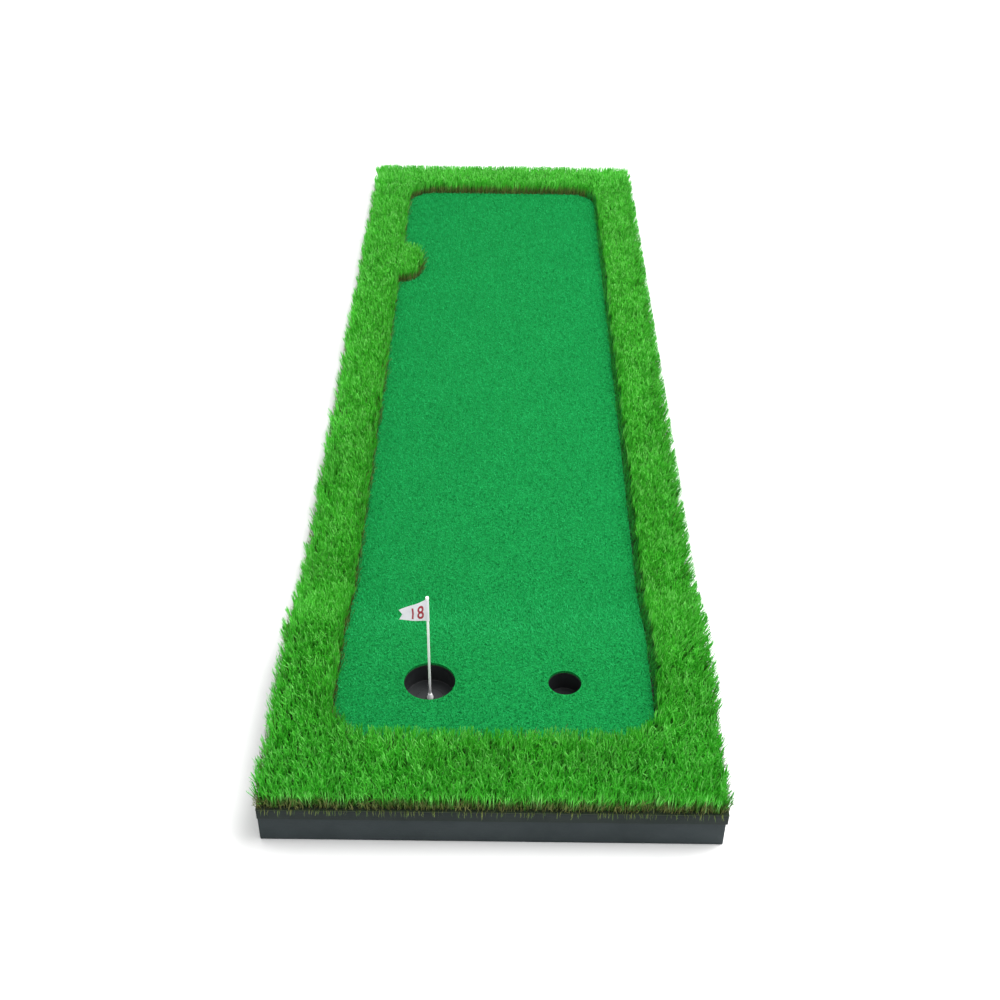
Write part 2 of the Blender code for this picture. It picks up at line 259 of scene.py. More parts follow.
def object_noise(tree, scale, detail=3.0, stretch=(1.0, 1.0, 1.0)):
    """Noise in object space."""
    place = tree.nodes.new("ShaderNodeTexCoord")
    mapping = tree.nodes.new("ShaderNodeMapping")
    mapping.inputs["Scale"].default_value = stretch
    noise = tree.nodes.new("ShaderNodeTexNoise")
    noise.inputs["Scale"].default_value = scale
    noise.inputs["Detail"].default_value = detail
    tree.links.new(place.outputs["Object"], mapping.inputs["Vector"])
    tree.links.new(mapping.outputs["Vector"], noise.inputs["Vector"])
    return noise.outputs["Fac"]


def object_cells(tree, scale):
    """Voronoi cells in object space."""
    place = tree.nodes.new("ShaderNodeTexCoord")
    cells = tree.nodes.new("ShaderNodeTexVoronoi")
    cells.inputs["Scale"].default_value = scale
    tree.links.new(place.outputs["Object"], cells.inputs["Vector"])
    return cells.outputs["Distance"]


def attribute(tree, name):
    """A number that the yarn meshes carry at each point."""
    node = tree.nodes.new("ShaderNodeAttribute")
    node.attribute_name = name
    return node.outputs["Fac"]


def mixed(tree, factor, first, second, mode="MIX"):
    """Mixes two colour sockets, or one socket and one colour."""
    mix = tree.nodes.new("ShaderNodeMix")
    mix.data_type = "RGBA"
    mix.blend_type = mode
    for value, socket in ((factor, mix.inputs[0]), (first, mix.inputs[6]), (second, mix.inputs[7])):
        if isinstance(value, bpy.types.NodeSocket):
            tree.links.new(value, socket)
        elif isinstance(value, tuple):
            socket.default_value = (*value, 1.0)
        else:
            socket.default_value = value
    return mix.outputs[2]


def ranged(tree, value, low, high, source=(0.0, 1.0)):
    """A socket's value moved from the source range to the range low to high."""
    node = tree.nodes.new("ShaderNodeMapRange")
    node.inputs["From Min"].default_value = source[0]
    node.inputs["From Max"].default_value = source[1]
    node.inputs["To Min"].default_value = low
    node.inputs["To Max"].default_value = high
    tree.links.new(value, node.inputs["Value"])
    return node.outputs["Result"]


def bumped(tree, shader, height, distance):
    """Gives a shader a bump of that distance from a height socket."""
    bump = tree.nodes.new("ShaderNodeBump")
    bump.inputs["Strength"].default_value = 1.0
    bump.inputs["Distance"].default_value = distance
    tree.links.new(height, bump.inputs["Height"])
    tree.links.new(bump.outputs["Normal"], shader.inputs["Normal"])


def yarn_material(name, stops, pale, roughness, gloss):
    """Yarn coloured from root to tip by the stops, and towards pale by each yarn's own tone."""
    mat, tree, shader = new_material(name)
    along = ramp_node(tree, attribute(tree, "along"), stops)
    tone = ranged(tree, attribute(tree, "tone"), 0.0, 0.5)
    colour = mixed(tree, tone, along, pale)
    patch = ranged(tree, object_noise(tree, 9.0), 0.91, 1.09, (0.3, 0.7))
    shade = tree.nodes.new("ShaderNodeHueSaturation")
    tree.links.new(patch, shade.inputs["Value"])
    tree.links.new(colour, shade.inputs["Color"])
    tree.links.new(shade.outputs["Color"], shader.inputs["Base Color"])
    tree.links.new(ranged(tree, object_noise(tree, 60.0), roughness - 0.08, roughness + 0.08),
                   shader.inputs["Roughness"])
    shader.inputs["Specular IOR Level"].default_value = gloss
    return mat


def foam_material(name, base, light, cell_scale):
    """Closed-cell foam: a mottled skin with fine pores and the faint ridges of a knife cut."""
    mat, tree, shader = new_material(name)
    clouds = ramp_node(tree, object_noise(tree, 7.0, 5.0), [(0.35, base), (0.68, light)])
    pores = object_cells(tree, cell_scale)
    # Painted shade: the skin is darkened at the middle of each pore.
    painted_pore_shade = ramp_node(tree, pores, [(0.0, (0.55, 0.55, 0.55)), (0.35, (1.0, 1.0, 1.0))])
    tree.links.new(mixed(tree, 0.6, clouds, painted_pore_shade, "MULTIPLY"), shader.inputs["Base Color"])
    ridges = object_noise(tree, 30.0, 2.0, (1.0, 1.0, 14.0))
    height = tree.nodes.new("ShaderNodeMath")
    height.operation = "ADD"
    tree.links.new(pores, height.inputs[0])
    tree.links.new(ridges, height.inputs[1])
    bumped(tree, shader, height.outputs["Value"], 0.0006)
    tree.links.new(ranged(tree, object_noise(tree, 25.0), 0.62, 0.85), shader.inputs["Roughness"])
    shader.inputs["Specular IOR Level"].default_value = 0.3
    return mat


def weave_material(name):
    """Coated tufting cloth: a fine crossed weave under black latex."""
    mat, tree, shader = new_material(name)
    place = tree.nodes.new("ShaderNodeTexCoord")
    threads = []
    for direction in ("X", "Y"):
        wave = tree.nodes.new("ShaderNodeTexWave")
        wave.bands_direction = direction
        wave.inputs["Scale"].default_value = 160.0
        tree.links.new(place.outputs["Object"], wave.inputs["Vector"])
        threads.append(wave.outputs["Fac"])
    both = tree.nodes.new("ShaderNodeMath")
    both.operation = "MAXIMUM"
    tree.links.new(threads[0], both.inputs[0])
    tree.links.new(threads[1], both.inputs[1])
    cloth = ramp_node(tree, both.outputs["Value"],
                      [(0.2, (0.008, 0.014, 0.008)), (0.9, (0.024, 0.044, 0.020))])
    tree.links.new(cloth, shader.inputs["Base Color"])
    bumped(tree, shader, both.outputs["Value"], 0.0003)
    tree.links.new(ranged(tree, object_noise(tree, 40.0), 0.7, 0.95), shader.inputs["Roughness"])
    return mat


def bed_material(name):
    """The dense lower part of the short pile, seen between the yarns on top."""
    mat, tree, shader = new_material(name)
    grain = object_noise(tree, 320.0, 4.0)
    # Painted shade: the bed is a darker green than the tops of the yarns.
    colour = ramp_node(tree, grain, [(0.30, (0.005, 0.13, 0.030)), (0.70, (0.012, 0.28, 0.062))])
    tree.links.new(colour, shader.inputs["Base Color"])
    bumped(tree, shader, grain, 0.002)
    tree.links.new(ranged(tree, grain, 0.75, 0.95), shader.inputs["Roughness"])
    shader.inputs["Specular IOR Level"].default_value = 0.0
    return mat


def plastic_material(name, base, light, roughness, grain):
    """Moulded plastic with a fine spark-eroded grain and faint flow marks."""
    mat, tree, shader = new_material(name)
    flow = ramp_node(tree, object_noise(tree, 18.0), [(0.3, base), (0.7, light)])
    tree.links.new(flow, shader.inputs["Base Color"])
    bumped(tree, shader, object_noise(tree, 900.0, 2.0), grain)
    tree.links.new(ranged(tree, object_noise(tree, 45.0), roughness - 0.07, roughness + 0.07),
                   shader.inputs["Roughness"])
    return mat


def film_material(name, base, light):
    """Thin satin film with a faint crease pattern."""
    mat, tree, shader = new_material(name)
    cloud = ramp_node(tree, object_noise(tree, 70.0), [(0.35, base), (0.65, light)])
    tree.links.new(cloud, shader.inputs["Base Color"])
    bumped(tree, shader, object_noise(tree, 240.0, 3.0), 0.0002)
    tree.links.new(ranged(tree, object_noise(tree, 90.0), 0.40, 0.55), shader.inputs["Roughness"])
    return mat


def turf_materials():
    """The materials of both turfs, by the names that the turf functions use."""
    made = {}
    for tone in TONES:
        body, tip, pale, roughness, gloss = BLADE_LOOKS[tone]
        # Painted shade: each blade darkens from two thirds up down to its root.
        stops = [(0.0, BLADE_ROOT_SHADE_AND_THATCH), (0.30, BLADE_LOW_PAINTED_SHADE), (0.66, body), (1.0, tip)]
        made[tone] = yarn_material(f"yarn_{tone}", stops, pale, roughness, gloss)
    for name, (root, tip, pale, roughness, gloss) in YARN_LOOKS.items():
        # Painted shade: darker at the root than at the tip.
        stops = [(0.0, root), (1.0, tip)]
        made[name.removeprefix("yarn_")] = yarn_material(name, stops, pale, roughness, gloss)
    made["bed"] = bed_material("short_pile_bed")
    return made


# ---------------------------------------------------------------- helpers


def new_object(name, mesh, mat):
    """An object of one mesh and one material, in the scene."""
    mesh.materials.append(mat)
    made = bpy.data.objects.new(name, mesh)
    bpy.context.scene.collection.objects.link(made)
    return made


def faces_tree(node, keep=None):
    """A CAD node's triangles as a search tree. keep picks triangles by their normal."""
    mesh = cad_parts[node].data
    mesh.calc_loop_triangles()
    points = [v.co.copy() for v in mesh.vertices]
    faces = [tuple(t.vertices) for t in mesh.loop_triangles if keep is None or keep(t)]
    return BVHTree.FromPolygons(points, faces)


def land_on(tree, xy):
    """Drops points onto a surface from above: the ones that land, and the normals there."""
    places, normals = [], []
    for x, y in xy:
        hit, normal, _, _ = tree.ray_cast(Vector((x, y, 1.0)), Vector((0, 0, -1)))
        if hit is not None and normal.z > FACING_UP:
            places.append(hit)
            normals.append(normal)
    return np.array(places, float), np.array(normals, float)


def stitch_grid(node, gauge, stitch, jitter, rng):
    """Stitches in rows along the mat, every second row shifted by half a stitch."""
    low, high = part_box(node)
    x = np.arange(low.x + gauge / 2, high.x, gauge)
    y = np.arange(low.y + stitch / 2, high.y, stitch)
    gx, gy = np.meshgrid(x, y, indexing="ij")
    gy = gy + (np.arange(len(x)) % 2)[:, None] * stitch / 2
    xy = np.stack([gx.ravel(), gy.ravel()], 1)
    return xy + rng.uniform(-jitter, jitter, xy.shape)


def swirl(xy, rng, waves=7, shortest=0.05, longest=0.30):
    """A smooth random field over the mat, about -1 to 1: a sum of plane waves."""
    total = np.zeros(len(xy))
    for _ in range(waves):
        heading = rng.uniform(0, math.pi)
        wavelength = shortest * (longest / shortest) ** rng.random()
        along = xy[:, 0] * math.cos(heading) + xy[:, 1] * math.sin(heading)
        total += np.sin(2 * math.pi * along / wavelength + rng.uniform(0, 2 * math.pi))
    return total / math.sqrt(waves)


def ribbon_points(line, width, twist, fold, along):
    """Points of ribbons along the centre lines (count, rows, 3), row by row, with the tip last.

    Also gives how many points stand side by side in a row. With a fold, each ribbon has a
    raised middle, like a blade of grass.
    """
    count, rows, _ = line.shape
    step = np.gradient(line, axis=1)
    step /= np.linalg.norm(step, axis=2, keepdims=True) + 1e-12
    flat = step.mean(1) * np.array([1.0, 1.0, 0.0])
    flat /= np.linalg.norm(flat, axis=1, keepdims=True) + 1e-9
    side = np.stack([-flat[:, 1], flat[:, 0], np.zeros(count)], 1)[:, None, :]
    side = side - step * (side * step).sum(2, keepdims=True)
    side /= np.linalg.norm(side, axis=2, keepdims=True) + 1e-12
    normal = np.cross(step, side)
    turn = twist[:, None, None] * (0.3 + 0.7 * along[None, :, None])
    across = side * np.cos(turn) + normal * np.sin(turn)
    out = np.cross(step, across)
    half = 0.5 * width[:, None, None] * (1.0 - (1.0 - YARN_TAPER) * along[None, :, None] ** 3)
    columns = [line - across * half, line + across * half]
    if fold:
        columns.insert(1, line + out * half * fold)
    wide = len(columns)
    block = np.stack([column[:, :-1] for column in columns], 2)
    block = block.reshape(count, (rows - 1) * wide, 3)
    return np.concatenate([block, line[:, -1:]], 1), wide


def ribbon_faces(count, rows, wide):
    """Quads and end triangles of ribbons whose points come row by row, with the tip last."""
    last = (rows - 2) * wide
    tip = last + wide
    quads = [(r * wide + c, r * wide + c + 1, (r + 1) * wide + c + 1, (r + 1) * wide + c)
             for r in range(rows - 2) for c in range(wide - 1)]
    tips = [(last + c, last + c + 1, tip) for c in range(wide - 1)]
    offset = (np.arange(count) * (tip + 1))[:, None, None]
    quads = (np.array(quads)[None] + offset).reshape(-1, 4)
    tips = (np.array(tips)[None] + offset).reshape(-1, 3)
    return quads, tips


def yarn_mesh(name, line, width, twist, fold, tone, rows):
    """Yarns as ribbons along their centre lines, all in one mesh. rows are the places of the
    lines' points from root to tip, from 0 to 1."""
    along = np.asarray(rows)
    count = len(line)
    points, wide = ribbon_points(line, width, twist, fold, along)
    quads, tips = ribbon_faces(count, len(along), wide)
    mesh = bpy.data.meshes.new(name)
    mesh.vertices.add(points.size // 3)
    mesh.vertices.foreach_set("co", points.astype(np.float32).ravel())
    corners = np.concatenate([quads.ravel(), tips.ravel()]).astype(np.int32)
    mesh.loops.add(len(corners))
    mesh.loops.foreach_set("vertex_index", corners)
    starts = np.concatenate([np.arange(len(quads)) * 4, quads.size + np.arange(len(tips)) * 3])
    mesh.polygons.add(len(starts))
    mesh.polygons.foreach_set("loop_start", starts.astype(np.int32))
    mesh.update(calc_edges=True)
    mesh.shade_smooth()
    # The yarns' material reads these two by name.
    place = np.append(np.repeat(along[:-1], wide), 1.0)
    carried = {"along": np.tile(place, count), "tone": np.repeat(tone, points.shape[1])}
    for label, values in carried.items():
        layer = mesh.attributes.new(label, "FLOAT", "POINT")
        layer.data.foreach_set("value", values.astype(np.float32))
    return mesh


def centre_lines(root, heading, lean, bend, length, rows, power=1.0, turn=None):
    """Lines that leave the root at a lean from upright and bend further over on the way.

    rows are the points' places along the line, from 0 to 1. A higher power leaves the bend to
    the tip, and turn is the way that the bend goes, if not the way that the line leans.
    """
    rows = np.asarray(rows)
    flat = np.stack([np.cos(heading), np.sin(heading), np.zeros(len(root))], 1)
    middle = (rows[1:] + rows[:-1]) / 2
    curl = bend[:, None] * middle[None] ** power
    if turn is None:
        angle = lean[:, None] + curl
        steps = flat[:, None] * np.sin(angle)[..., None] + UP * np.cos(angle)[..., None]
    else:
        over = np.stack([np.cos(turn), np.sin(turn), np.zeros(len(root))], 1)
        stem = flat * np.sin(lean)[:, None] + UP * np.cos(lean)[:, None]
        steps = stem[:, None] * np.cos(curl)[..., None] + over[:, None] * np.sin(curl)[..., None]
        steps /= np.linalg.norm(steps, axis=2, keepdims=True)
    steps *= length[:, None, None] * np.diff(rows)[None, :, None]
    walk = np.concatenate([np.zeros((len(root), 1, 3)), np.cumsum(steps, 1)], 1)
    return root[:, None] + walk


def held_back(line, reach):
    """Draws in yarns that stand more than the reach outside the mat's sides."""
    limit = np.array([MAT_HALF_WIDTH, MAT_HALF_LENGTH]) + reach
    root = line[:, :1, :2]
    offset = line[:, :, :2] - root
    room = np.where(offset > 0, limit - root, limit + root)
    over = np.abs(offset) / np.maximum(room, 1e-4)
    worst = np.maximum(over.max(axis=(1, 2)), 1.0)[:, None, None]
    line[:, :, :2] = root + offset / worst
    return line


# ---------------------------------------------------------------- turf


def edge_room(places):
    """How far points are from the mat's nearest outer side."""
    return np.minimum(MAT_HALF_WIDTH - np.abs(places[:, 0]), MAT_HALF_LENGTH - np.abs(places[:, 1]))


def fading(distance, zone):
    """1 at no distance, falling evenly to 0 at the end of the zone."""
    return np.clip(1 - distance / zone, 0, 1)


def edge_push(places, green_walls):
    """How the pile leans: all of it to the right, outwards along the mat's sides, and over the
    green. Also gives the distance from the green, and how freely each tuft strays from the
    lean along X and Y: less across a cut edge than along it."""
    x, y = places[:, 0], places[:, 1]
    push = np.zeros((len(places), 2))
    push[:, 0] = LEAN_MIDDLE + LEAN_SIDE * x / MAT_HALF_WIDTH
    push[:, 0] += SPLAY_RIGHT * fading(MAT_HALF_WIDTH - x, SIDE_ZONE)
    least = np.where(x < FRONT_LEFT, LEAN_FRONT_LEFT, LEAN_FRONT)
    push[:, 0] *= 1 - (1 - least) * fading(MAT_HALF_LENGTH + y, FRONT_ZONE)
    push[:, 1] = LEAN_BACK * fading(MAT_HALF_LENGTH - y, BACK_ZONE)
    push[:, 0] -= SPLAY_LEFT * fading(MAT_HALF_WIDTH + x, SIDE_ZONE)
    push[:, 1] += np.sign(y) * SPLAY_ENDS * fading(MAT_HALF_LENGTH - np.abs(y), ENDS_ZONE)
    walls = [green_walls.find_nearest(Vector(place)) for place in places]
    inner = np.array([wall[3] for wall in walls])
    way = np.array([wall[0] for wall in walls])[:, :2] - places[:, :2]
    way /= np.linalg.norm(way, axis=1, keepdims=True) + 1e-9
    near = fading(inner, INNER_ZONE)[:, None]
    left, right = np.interp(y, *SPLAY_INNER_LEFT), np.interp(y, *SPLAY_INNER_RIGHT)
    splay = np.stack([np.where(x < 0, left, right), np.full(len(y), SPLAY_INNER_Y)], 1)
    push += np.clip(way, (-1, 0), 1) * splay * near
    sides = np.array([MAT_HALF_WIDTH, MAT_HALF_LENGTH]) - np.abs(places[:, :2])
    tidy = np.maximum(fading(sides, EDGE_ZONE), np.abs(way) * near)
    tidy = np.maximum(tidy, EDGE_ALONG * tidy[:, ::-1])
    return push, inner, 1 - EDGE_TIDY * tidy


def by_tone(tone, shares):
    """Shares the yarns out to the three tones, and gives each tone with its yarns. The shares
    are where dark turns to mid and mid to light, in the order of the yarns' own tones."""
    order, count = np.argsort(tone), len(tone)
    first, second = (int(share * count) for share in shares)
    parts = {"dark": order[:first], "mid": order[first:second], "light": order[second:]}
    return [(label, np.sort(parts[label])) for label in TONES]


def long_turf(side, green_walls, materials, rng):
    """One strip of fringe turf: tufts of blades in three tones, with thatch at their roots."""
    node = f"fringe_{side}_backing"
    tree = faces_tree(node)
    xy = stitch_grid(node, LONG_GAUGE, LONG_STITCH, LONG_JITTER, rng)
    places, normals = land_on(tree, xy)
    push, inner, loose = edge_push(places, green_walls)
    inside = np.minimum(inner, edge_room(places)) > LONG_INSET
    places, normals, push, loose = places[inside], normals[inside], push[inside], loose[inside]
    tufts = len(places)
    sway = np.stack([swirl(places, rng), swirl(places, rng)], 1) * PILE_SWAY
    stray = sway + rng.normal(0, TUFT_STRAY, (tufts, 2))
    lean = push + SLOPE_LEAN * normals[:, :2] + loose * stray
    tuft_tone = 0.15 * swirl(places, rng, shortest=0.02, longest=0.12) + rng.normal(0, 0.8, tufts)
    tuft_length = LONG_LENGTH * np.clip(rng.normal(1.0, 0.02, tufts), 0.93, 1.04)
    tuft_length *= 1 + FAR_LENGTH * fading(MAT_HALF_LENGTH - places[:, 1], BACK_ZONE)
    outer = edge_room(places) < LONG_INSET + LONG_GAUGE
    each = np.repeat(np.arange(tufts), np.where(outer, EDGE_BLADES, LONG_BLADES))
    each = each[rng.random(len(each)) < BLADES_KEPT]
    count = len(each)
    # The outer blades fan out along the mat's side, and stay tidy across it.
    at_side = MAT_HALF_WIDTH - np.abs(places[:, 0]) < MAT_HALF_LENGTH - np.abs(places[:, 1])
    along = (np.stack([~at_side, at_side], 1) & outer[:, None])[each]
    fan = np.where(along, EDGE_FAN, 1.0)
    tilt = lean[each] + loose[each] * fan * rng.normal(0, BLADE_STRAY, (count, 2))
    heading = np.arctan2(tilt[:, 1], tilt[:, 0])
    strength = np.linalg.norm(tilt, axis=1)
    strewn = rng.normal(0, ROOT_STRAY, (count, 2)) * np.where(along, EDGE_SPREAD, 1.0)
    root = places[each] + np.c_[strewn, np.full(count, -ROOT_DEPTH)]
    length = tuft_length[each] * rng.uniform(0.92, 1.0, count)
    bend = rng.uniform(0.1, 1.15, count) * loose[each].min(1)
    turn = rng.uniform(-math.pi, math.pi, count)
    line = centre_lines(root, heading, strength, bend, length, LONG_ROWS, TIP_CURL, turn)
    line = held_back(line, LONG_REACH)
    tone = tuft_tone[each] + rng.normal(0, 0.55, count)
    width = LONG_WIDTH * rng.uniform(0.75, 1.2, count) * np.where(outer[each], EDGE_WIDTH, 1.0)
    twist = rng.uniform(-0.9, 0.9, count)
    made = []
    for label, chosen in by_tone(tone, LONG_SHARES):
        own = rng.random(len(chosen))
        mesh = yarn_mesh("blades", line[chosen], width[chosen], twist[chosen], LONG_FOLDS[label],
                         own, LONG_ROWS)
        made.append(new_object(f"fringe_{side}_blades_{label}", mesh, materials[label]))
    made += thatch(side, green_walls, materials, rng)
    for piece in made:
        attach(piece, "mat")
        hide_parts(f"fringe_{side}_pile")
    return made


def thatch_places(node, green_walls, rng):
    """Where a strip's thatch stands, how it leans and how long it is for its kind: closer
    together and longer along the cut edges."""
    xy = stitch_grid(node, THATCH_GAUGE, THATCH_STITCH, THATCH_JITTER, rng)
    places, _ = land_on(faces_tree(node), xy)
    push, inner, _ = edge_push(places, green_walls)
    near = np.minimum(inner, edge_room(places)) < THATCH_EDGE
    extra = np.repeat(places[near], THATCH_EXTRA, axis=0)
    extra[:, :2] += rng.normal(0, THATCH_SPREAD, (len(extra), 2))
    grown = np.r_[np.ones(len(places)), np.full(len(extra), THATCH_EDGE_LENGTH)]
    places = np.concatenate([places, extra])
    push = np.concatenate([push, np.repeat(push[near], THATCH_EXTRA, axis=0)])
    kept = edge_room(places) > THATCH_INSET
    return places[kept], push[kept], grown[kept]


def thatch(side, green_walls, materials, rng):
    """Crimped yarns between the blades, brown but for those along the green's right side: their green
    is painted shade, for the shade on that wall. Some at the front edge hang over it."""
    places, push, grown = thatch_places(f"fringe_{side}_backing", green_walls, rng)
    count = len(places)
    tilt = THATCH_PUSH * push + rng.normal(0, THATCH_STRAY, (count, 2))
    length = THATCH_LENGTH * grown * rng.uniform(0.50, 1.15, count)
    bend = rng.uniform(0.1, 1.1, count)
    turn = rng.uniform(-math.pi, math.pi, count)
    heading = np.arctan2(tilt[:, 1], tilt[:, 0])
    strength = np.linalg.norm(tilt, axis=1)
    rows = np.linspace(0, 1, 5)
    line = centre_lines(places, heading, strength, bend, length, rows, THATCH_CURL, turn)
    at_front = places[:, 1] < FRAYED_EDGE - MAT_HALF_LENGTH
    frayed = at_front & (rng.random(count) < FRAYED_SHARE)
    threads = frayed.sum()
    forwards = np.full(threads, -math.pi / 2)
    lean = rng.uniform(0.2, 0.6, threads)
    droop = rng.uniform(2.2, 3.0, threads)
    line[frayed] = centre_lines(places[frayed], forwards, lean, droop,
                                length[frayed] * FRAYED_LENGTH, rows, FRAYED_CURL)
    line[:, 1:] += rng.normal(0, THATCH_CRIMP, (count, len(rows) - 1, 3))
    line = held_back(line, LONG_REACH * THATCH_REACH)
    width = THATCH_WIDTH * rng.uniform(0.7, 1.3, count)
    twist = rng.uniform(-1.5, 1.5, count)
    tone = rng.random(count)
    x, y = places[:, 0], places[:, 1]
    # Painted shade: thatch along the right inner wall is coloured green.
    green = (x > PAINTED_SHADE_THATCH_X[0]) & (x < PAINTED_SHADE_THATCH_X[1]) & (np.abs(y) < PAINTED_SHADE_THATCH_Y)
    made = []
    for name, part in (("thatch", ~green), ("thatch_painted_shade", green)):
        if part.any():
            mesh = yarn_mesh(name, line[part], width[part], twist[part], 0.0, tone[part], rows)
            made.append(new_object(f"fringe_{side}_{name}", mesh, materials[name]))
    return made


def short_turf(materials, rng):
    """The putting surface: short curled yarns in three tones, on a dense bed."""
    node = "putting_backing"
    tree = faces_tree(node)
    xy = stitch_grid(node, SHORT_GAUGE, SHORT_STITCH, SHORT_JITTER, rng)
    places, normals = land_on(tree, xy)
    count = len(places)
    heading = rng.uniform(-math.pi, math.pi, count)
    length = SHORT_LENGTH * np.clip(rng.normal(1.0, 0.12, count), 0.7, 1.25)
    lean = np.abs(rng.normal(0.0, 0.22, count))
    bend = rng.uniform(0.3, 1.9, count)
    # Yarns over a cup's flange lean away from the hole.
    for cup_node in ("cup_large", "cup_small"):
        low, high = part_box(cup_node)
        away = places[:, :2] - np.array([(low.x + high.x) / 2, (low.y + high.y) / 2])
        rim = np.linalg.norm(away, axis=1) < (high.x - low.x) / 2
        heading[rim] = np.arctan2(away[rim, 1], away[rim, 0]) + rng.uniform(-1.1, 1.1, rim.sum())
        bend[rim] *= 0.6
    rows = np.linspace(0, 1, 4)
    line = centre_lines(places + UP * SHORT_LIFT, heading, lean, bend, length, rows)
    line[:, :, :2] += (line[:, :, 2] - places[:, None, 2])[..., None] * normals[:, None, :2]
    tone = 0.5 * swirl(places, rng, shortest=0.008, longest=0.05) + rng.normal(0, 1.0, count)
    # Painted sheen: yarns across the ramp's crest are pushed to the paler tones.
    tone += CREST_PAINTED_SHEEN * np.exp(-((places[:, 1] - CREST_Y) / CREST_WIDTH) ** 2)
    made = []
    middle = np.median(places[:, 1])
    for label, chosen in by_tone(tone, SHORT_SHARES):
        y = places[chosen, 1]
        for half, picked in (("near", y <= middle), ("far", y > middle)):
            yarns = chosen[picked]
            width = SHORT_WIDTH * rng.uniform(0.8, 1.2, len(yarns))
            twist = rng.uniform(-1.2, 1.2, len(yarns))
            own = rng.random(len(yarns))
            mesh = yarn_mesh("curls", line[yarns], width, twist, 0.0, own, rows)
            made.append(new_object(f"putting_yarn_{label}_{half}", mesh, materials[f"short_{label}"]))
    made.append(turf_bed(materials["bed"]))
    for piece in made:
        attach(piece, "mat")
        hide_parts("putting_pile")
    return made


def turf_bed(mat):
    """The lower part of the short pile: its CAD solid with the top brought down."""
    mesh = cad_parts["putting_pile"].data.copy()
    mesh.materials.clear()
    tree = faces_tree("putting_backing")
    for vertex in mesh.vertices:
        hit, _, _, _ = tree.ray_cast(vertex.co + Vector((0, 0, 1e-5)), Vector((0, 0, -1)))
        below = vertex.co.z - hit.z if hit is not None else 0.0
        if below > SHORT_TOP:
            vertex.co.z -= SHORT_BED
    return new_object("putting_pile_bed", mesh, mat)


# ---------------------------------------------------------------- boards and backings


def outer_edges(bm, low, high):
    """Edges along the sides of a board's own box, where two faces meet at a corner."""
    found = []
    for edge in bm.edges:
        if len(edge.link_faces) != 2 or edge.calc_face_angle(0.0) < math.radians(35):
            continue
        sides = [(axis, side[axis]) for axis in (0, 1) for side in (low, high)]
        if any(all(abs(v.co[axis] - side) < 1e-4 for v in edge.verts) for axis, side in sides):
            found.append(edge)
    return found


def foam_board(name, node, mat):
    """A foam board: the CAD solid with softened cut edges."""
    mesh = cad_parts[node].data.copy()
    mesh.materials.clear()
    low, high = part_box(node)
    bm = bmesh.new()
    bm.from_mesh(mesh)
    bmesh.ops.remove_doubles(bm, verts=bm.verts, dist=1e-6)
    bmesh.ops.dissolve_limit(bm, angle_limit=math.radians(0.5), verts=bm.verts, edges=bm.edges)
    bmesh.ops.bevel(bm, geom=outer_edges(bm, low, high), offset=FOAM_BEVEL, segments=3,
                    affect="EDGES", profile=0.5)
    bmesh.ops.triangulate(bm, faces=bm.faces)
    bm.to_mesh(mesh)
    bm.free()
    board = new_object(name, mesh, mat)
    mesh.shade_smooth()
    mesh.set_sharp_from_angle(angle=math.radians(40))
    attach(board, "mat")
    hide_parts(node)


def flat_area(mesh):
    """The flat area of a sheet of even thickness: the area of its upward faces."""
    mesh.calc_loop_triangles()
    return sum(t.area for t in mesh.loop_triangles if t.normal.z > FACING_UP)


def backing(name, node, rests_on, mat):
    """Tufting cloth under one piece of turf."""
    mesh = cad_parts[node].data.copy()
    mesh.materials.clear()
    cloth = new_object(name, mesh, mat)
    area = flat_area(mesh)
    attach(cloth, "mat")
    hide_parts(node)
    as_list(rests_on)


# ---------------------------------------------------------------- cups, flagstick, pennant


def turned(name, profile, x, y, mat, segments=96, close=False):
    """A profile of (radius, z) points turned about a vertical axis."""
    bm = bmesh.new()
    rings = []
    for radius, z in profile:
        if radius < 1e-7:
            rings.append([bm.verts.new((x, y, z))])
            continue
        ring = []
        for i in range(segments):
            a = 2 * math.pi * i / segments
            ring.append(bm.verts.new((x + radius * math.cos(a), y + radius * math.sin(a), z)))
        rings.append(ring)
    pairs = list(zip(rings, rings[1:]))
    if close:
        pairs.append((rings[-1], rings[0]))
    for first, second in pairs:
        for i in range(segments):
            j = (i + 1) % segments
            if len(first) == 1 and len(second) == 1:
                break
            if len(first) == 1:
                bm.faces.new((first[0], second[i], second[j]))
            elif len(second) == 1:
                bm.faces.new((first[i], second[0], first[j]))
            else:
                bm.faces.new((first[i], second[i], second[j], first[j]))
    bmesh.ops.recalc_face_normals(bm, faces=bm.faces)
    mesh = bpy.data.meshes.new(name)
    bm.to_mesh(mesh)
    bm.free()
    mesh.shade_smooth()
    mesh.set_sharp_from_angle(angle=math.radians(35))
    return new_object(name, mesh, mat)


def rounded(points, radius, steps=4):
    """A (radius, z) line with each inner corner rounded off."""
    made = [points[0]]
    for before, corner, after in zip(points, points[1:], points[2:]):
        a, b, c = (Vector(p) for p in (before, corner, after))
        reach = min(radius, (a - b).length * 0.45, (c - b).length * 0.45)
        start, end = b + (a - b).normalized() * reach, b + (c - b).normalized() * reach
        for i in range(steps + 1):
            t = i / steps
            made.append(tuple((1 - t) ** 2 * start + 2 * t * (1 - t) * b + t ** 2 * end))
    return made + [points[-1]]


def ridge(radii, floor):
    """A low ridge round the middle of a cup's floor, from its four radii."""
    return list(zip(radii, (floor, floor + RIDGE_HEIGHT, floor + RIDGE_HEIGHT, floor)))


